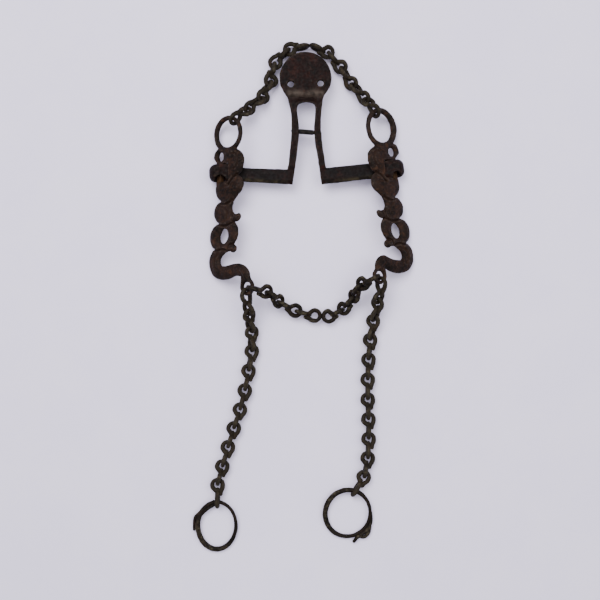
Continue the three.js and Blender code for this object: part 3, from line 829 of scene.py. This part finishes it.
# Each ring: its middle, half sizes, the bearing of its thick side, and the rod's loose ends, each with its
# radii from start to end. They lie at the left ring's upper left and are knotted at the right's lower right.
LEFT_REIN_RING = dict(
    x=-71.6, y=-281.5, half_width=15.2, half_height=19.3, thick=225,
    strands=[([(-74.0, -261.9, 4.8), (-79.6, -265.8, 4.6), (-85.2, -271.2, 4.2), (-88.9, -275.2, 3.2),
               (-89.9, -280.0, 2.2), (-90.2, -285.4, 1.6)], (1.3, 1.5, 1.5, 1.3, 1.0)),
             ([(-73.0, -264.4, 4.6), (-79.4, -268.0, 4.6), (-84.8, -273.4, 4.0), (-87.3, -279.0, 3.2),
               (-87.6, -285.0, 2.4), (-86.8, -290.0, 2.0)], (1.3, 1.5, 1.5, 1.4, 0.8))])
RIGHT_REIN_RING = dict(
    x=33.0, y=-271.4, half_width=17.8, half_height=19.1, thick=160,
    strands=[([(51.3, -268.0, 3.8), (51.9, -274.0, 3.2), (51.2, -280.0, 3.0), (47.6, -285.6, 3.6),
               (43.2, -288.6, 3.8)], (0.6, 1.2, 1.5, 1.6, 1.2)),
             ([(50.4, -277.6, 2.6), (50.6, -283.2, 2.6), (49.2, -288.4, 2.4), (46.0, -291.0, 2.2),
               (42.0, -290.2, 3.0), (38.0, -294.8, 2.0)], (0.8, 1.5, 1.6, 1.6, 1.5, 1.2))])


def make_rein_ring(name, contact, ring):
    """A ring bent from one rod, thicker on one side, with its loose ends as strands beside it."""
    centre = np.array([ring["x"], ring["y"], 0])
    path = evenly(ring_path(contact, centre, ring["half_width"], ring["half_height"]), 0.5, closed=True)
    bearing = np.arctan2(path[:, 1] - centre[1], path[:, 0] - centre[0])
    mean, swing = 1.76, 0.4
    radius = mean + swing * np.cos(bearing - math.radians(ring["thick"]))
    path[:, 2] = np.maximum(path[:, 2], radius)
    parts = [tube(path, radius, 16, closed=True)]
    for points, radii in ring["strands"]:
        line = evenly(catmull(points, 10), 0.45)
        along, known = np.linspace(0, 1, len(line)), np.linspace(0, 1, len(radii))
        parts.append(tube(line, np.interp(along, known, radii), 14))
    obj = joined(f"forged_{name}", parts)
    roughen(obj, 0.13, 0.15, dent_size=2.6, pit_size=1.0)
    return obj


# ---- materials ------------------------------------------------------------------------------

class Graph:
    """A short way to write a material's nodes."""

    def __init__(self, name):
        self.material = bpy.data.materials.new(name)
        self.material.use_nodes = True
        self.tree = self.material.node_tree
        self.shader = self.tree.nodes["Principled BSDF"]
        self.place = self.add("ShaderNodeTexCoord").outputs["Object"]

    def add(self, kind, **values):
        node = self.tree.nodes.new(kind)
        for key, value in values.items():
            setattr(node, key, value)
        return node

    def wire(self, source, target):
        """Feeds a socket from a number, a colour or another node's output."""
        if isinstance(source, (int, float, tuple)):
            target.default_value = source
        else:
            self.tree.links.new(source, target)

    def noise(self, size, detail=3.0, rough=0.6, distortion=0.0):
        """Fractal noise with features of that size in millimetres, 0 to 1."""
        node = self.add("ShaderNodeTexNoise")
        node.inputs["Scale"].default_value = 1000.0 / size
        node.inputs["Detail"].default_value = detail
        node.inputs["Roughness"].default_value = rough
        node.inputs["Distortion"].default_value = distortion
        self.wire(self.place, node.inputs["Vector"])
        return node.outputs["Fac"]

    def cells(self, size):
        """Soft cells of that size in millimetres."""
        node = self.add("ShaderNodeTexVoronoi", feature="SMOOTH_F1")
        node.inputs["Scale"].default_value = 1000.0 / size
        self.wire(self.place, node.inputs["Vector"])
        return node.outputs["Distance"]

    def ramp(self, value, low, high, start=0.0, end=1.0):
        node = self.add("ShaderNodeMapRange", interpolation_type="SMOOTHSTEP")
        self.wire(value, node.inputs["Value"])
        for key, number in zip(("From Min", "From Max", "To Min", "To Max"), (low, high, start, end)):
            node.inputs[key].default_value = number
        return node.outputs["Result"]

    def math(self, operation, a, b):
        node = self.add("ShaderNodeMath", operation=operation)
        node.use_clamp = operation in ("MULTIPLY", "ADD")
        self.wire(a, node.inputs[0])
        self.wire(b, node.inputs[1])
        return node.outputs["Value"]

    def mix(self, fac, a, b):
        node = self.add("ShaderNodeMix", data_type="RGBA")
        self.wire(fac, node.inputs["Factor"])
        for value, index in ((a, 6), (b, 7)):
            self.wire(value if not isinstance(value, tuple) else (*value, 1.0), node.inputs[index])
        return node.outputs[2]

    def attribute(self, name):
        return self.add("ShaderNodeAttribute", attribute_name=name).outputs["Fac"]

    def bump(self, height, strength, distance):
        node = self.add("ShaderNodeBump")
        node.inputs["Strength"].default_value = strength
        node.inputs["Distance"].default_value = distance * MM
        self.wire(height, node.inputs["Height"])
        return node.outputs["Normal"]


def linear(r, g, b):
    """A linear colour from display values of 0 to 255."""
    shares = (r / 255, g / 255, b / 255)
    return tuple(((c + 0.055) / 1.055) ** 2.4 if c > 0.04 else c / 12.92 for c in shares)


def iron(name, dark, brown, rust, worn, rust_amount, extra=None):
    """Old rusted iron: dark scale, brown rust in patches and hollows, painted shade in the creases, and
    duller grey on the high places, partly wear and partly painted highlight.
    """
    g = Graph(name)
    patches = g.ramp(g.noise(9.0, 4.0, 0.55, 0.3), 0.34, 0.66)
    colour = g.mix(patches, dark, brown)
    grain = g.ramp(g.noise(0.9, 4.0, 0.7), 0.3, 0.72, 0.0, 0.55)
    colour = g.mix(grain, colour, tuple(0.45 * c for c in dark))
    hollow = g.math("MULTIPLY", g.attribute("hollow"), g.ramp(g.noise(3.2, 4.0), 0.34, 0.62))
    crease = g.math("MULTIPLY", g.attribute("crease"), g.ramp(g.noise(2.4, 3.0), 0.26, 0.6, 0.25, 1.0))
    bloom = g.ramp(g.noise(6.0, 4.0, 0.6, 0.5), 0.58 - 0.1 * rust_amount, 0.76 - 0.1 * rust_amount)
    sheltered = g.math("MAXIMUM", g.math("MULTIPLY", hollow, 0.4), g.math("MULTIPLY", crease, 0.5))
    rusty = g.math("MAXIMUM", g.math("MULTIPLY", bloom, 0.6), sheltered)
    rusty = g.math("MULTIPLY", rusty, min(1.0, 0.35 + rust_amount))
    colour = g.mix(rusty, colour, rust)
    # Painted shade: the creases and grooves are darkened towards black.
    deep = g.math("MULTIPLY", g.attribute("crease"), 0.65)
    colour = g.mix(deep, colour, tuple(0.3 * c for c in dark))
    # The proud places turn a lighter grey: partly wear, partly painted highlight.
    proud = g.math("MULTIPLY", g.attribute("proud"), g.ramp(g.noise(2.0, 3.0), 0.35, 0.7))
    colour = g.mix(g.math("MULTIPLY", proud, 0.6), colour, worn)
    if extra:
        colour = extra(g, colour)
    g.wire(colour, g.shader.inputs["Base Color"])
    rough = g.ramp(g.noise(1.7, 4.0), 0.3, 0.7, 0.5, 0.82)
    g.wire(rough, g.shader.inputs["Roughness"])
    g.shader.inputs["Metallic"].default_value = 0.0
    g.shader.inputs["Specular IOR Level"].default_value = 0.1
    flakes = g.math("MULTIPLY", g.cells(1.1), 0.5)
    scale = g.math("ADD", g.math("MULTIPLY", g.noise(0.55, 5.0, 0.7), 0.6), flakes)
    g.wire(g.bump(scale, 0.55, 0.22), g.shader.inputs["Normal"])
    return g.material


def cheek_extra(g, colour):
    """Bright fresh rust on the post, where the rolled bar end rubs."""
    fresh = g.math("MULTIPLY", g.attribute("rust"), g.ramp(g.noise(1.8, 4.0), 0.25, 0.6, 0.45, 1.0))
    return g.mix(fresh, colour, linear(56, 38, 22))


def mouth_extra(g, colour):
    """Blacker bars, an olive painted highlight along their lower edge and a greyer painted highlight on the
    ridge.
    """
    black = g.math("MULTIPLY", g.attribute("bar"), g.ramp(g.noise(6.0, 4.0), 0.3, 0.75, 0.75, 0.4))
    colour = g.mix(black, colour, linear(12, 9, 10))
    # Painted highlight: a light olive band along the bars' bevelled lower edge.
    edge_highlight = g.math("MULTIPLY", g.attribute("strip"), g.ramp(g.noise(5.0, 3.0), 0.4, 0.62, 0.1, 0.8))
    colour = g.mix(edge_highlight, colour, linear(56, 49, 36))
    # Painted highlight along the crown of the ridge.
    ridge_highlight = g.math("MULTIPLY", g.attribute("crown"), g.ramp(g.noise(5.0, 4.0), 0.35, 0.65, 0.25, 0.75))
    return g.mix(ridge_highlight, colour, linear(74, 64, 57))


def chain_extra(g, colour):
    """Links differ a little in tone."""
    return g.mix(g.math("MULTIPLY", g.attribute("tone"), 0.5), colour, linear(44, 38, 29))


def floor_material():
    g = Graph("pale_floor")
    shade = g.ramp(g.noise(60.0, 3.0), 0.3, 0.7)
    g.wire(g.mix(shade, linear(234, 226, 254), linear(238, 230, 255)), g.shader.inputs["Base Color"])
    g.shader.inputs["Roughness"].default_value = 0.9
    g.shader.inputs["Specular IOR Level"].default_value = 0.1
    return g.material


# ---- assembly -------------------------------------------------------------------------------

def dress(piece, node, body, material):
    """Gives a piece its material, puts it on the body that it rides on and hides the node that it stands for.
    """
    piece.data.materials.append(material)
    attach(piece, body)
    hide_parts(node)


def build_bit():
    cheek_iron = iron("cheek_iron", linear(9, 6, 5), linear(36, 24, 20), linear(68, 44, 30),
                      linear(74, 62, 55), 0.6, cheek_extra)
    spade_iron = iron("spade_iron", linear(5, 2, 2), linear(23, 7, 6), linear(50, 24, 18),
                      linear(60, 49, 42), 0.5, mouth_extra)
    chain_iron = iron("chain_iron", linear(8, 6, 5), linear(26, 20, 16), linear(56, 38, 26),
                      linear(84, 76, 60), 0.4, chain_extra)
    pin_iron = iron("pin_iron", linear(9, 8, 9), linear(20, 17, 16), linear(44, 30, 22),
                    linear(52, 48, 46), 0.25)
    for cheek in (LEFT, RIGHT):
        node = f"{cheek['name']}_cheek"
        dress(make_cheek(cheek), node, node, cheek_iron)
    dress(make_mouthpiece(), "mouthpiece", "mouthpiece", spade_iron)
    dress(make_pin(), "cross_pin", "mouthpiece", pin_iron)
    meeting = BEND + OPEN_END
    chains = [
        ("left_rein", on_eye(LEFT, -108), REIN_LEFT, (AT_EYE, AT_REIN_RING), UP, 4, 0.75),
        ("right_rein", on_eye(RIGHT, -104), REIN_RIGHT, (AT_EYE, AT_REIN_RING), UP, 4, 0.7),
        ("left_curb", on_head_ring(LEFT, 60), UPPER_LEFT, (AT_HEAD_RING, meeting), UP, 4, 0.45),
        ("right_curb", on_head_ring(RIGHT, 72), UPPER_RIGHT, (AT_HEAD_RING + 0.6, meeting), UP, 4, 0.45),
        ("left_shank", on_eye(LEFT, -12), LOWER_LEFT, (AT_EYE, BEND), BACK, 3, 0.0),
        ("right_shank", on_eye(RIGHT, -12), LOWER_RIGHT, (AT_EYE, BEND), BACK, 3, 0.0),
    ]
    for chain in chains:
        for node, link in make_chain(*chain):
            dress(link, node, node, chain_iron)
    for node, pivots, ring in (("left_rein_ring", REIN_LEFT, LEFT_REIN_RING),
                               ("right_rein_ring", REIN_RIGHT, RIGHT_REIN_RING)):
        dress(make_rein_ring(node, flat(pivots)[-1], ring), node, node, chain_iron)


# ---- stage ----------------------------------------------------------------------------------

# The camera looks straight down on this place of the drawing, in millimetres.
CAMERA = np.array([-5.135, -101.12, 707.0])
HALF_VIEW = math.atan(237.0 / 694.5)


def make_stage():
    """A pale floor, a dim sky and three soft lights."""
    bpy.ops.mesh.primitive_plane_add(size=6.0, location=(0, 0, -0.0003))
    floor = bpy.context.object
    floor.name = "floor"
    floor.data.materials.append(floor_material())
    world = bpy.data.worlds.new("studio")
    world.use_nodes = True
    background = world.node_tree.nodes["Background"]
    background.inputs["Color"].default_value = (0.93, 0.94, 1.0, 1)
    background.inputs["Strength"].default_value = 0.42
    bpy.context.scene.world = world
    soft_light("overhead", (-0.1, 0.1, 1.6), 2.4, 21.0)
    soft_light("key", (-0.35, 0.6, 1.3), 0.9, 19.0)
    soft_light("fill", (0.7, 0.2, 1.2), 1.1, 8.0)


def soft_light(name, place, size, power):
    """A round area light aimed at the bit's middle."""
    data = bpy.data.lights.new(name, "AREA")
    data.shape = "DISK"
    data.size = size
    data.energy = power
    light = bpy.data.objects.new(name, data)
    light.location = place
    light.rotation_mode = "QUATERNION"
    light.rotation_quaternion = (light.location * -1).to_track_quat("-Z", "Y")
    bpy.context.scene.collection.objects.link(light)


def make_camera():
    """Straight above, looking down, with the bit's top at the top of the picture."""
    data = bpy.data.cameras.new("camera")
    data.sensor_width = 36.0
    data.lens = data.sensor_width / 2 / math.tan(HALF_VIEW)
    data.clip_start, data.clip_end = 0.01, 20.0
    camera = bpy.data.objects.new("camera", data)
    camera.location = (CAMERA + SHIFT * (1, 1, 0)) * MM
    bpy.context.scene.collection.objects.link(camera)
    bpy.context.scene.camera = camera


make_camera()
make_stage()
build_bit()
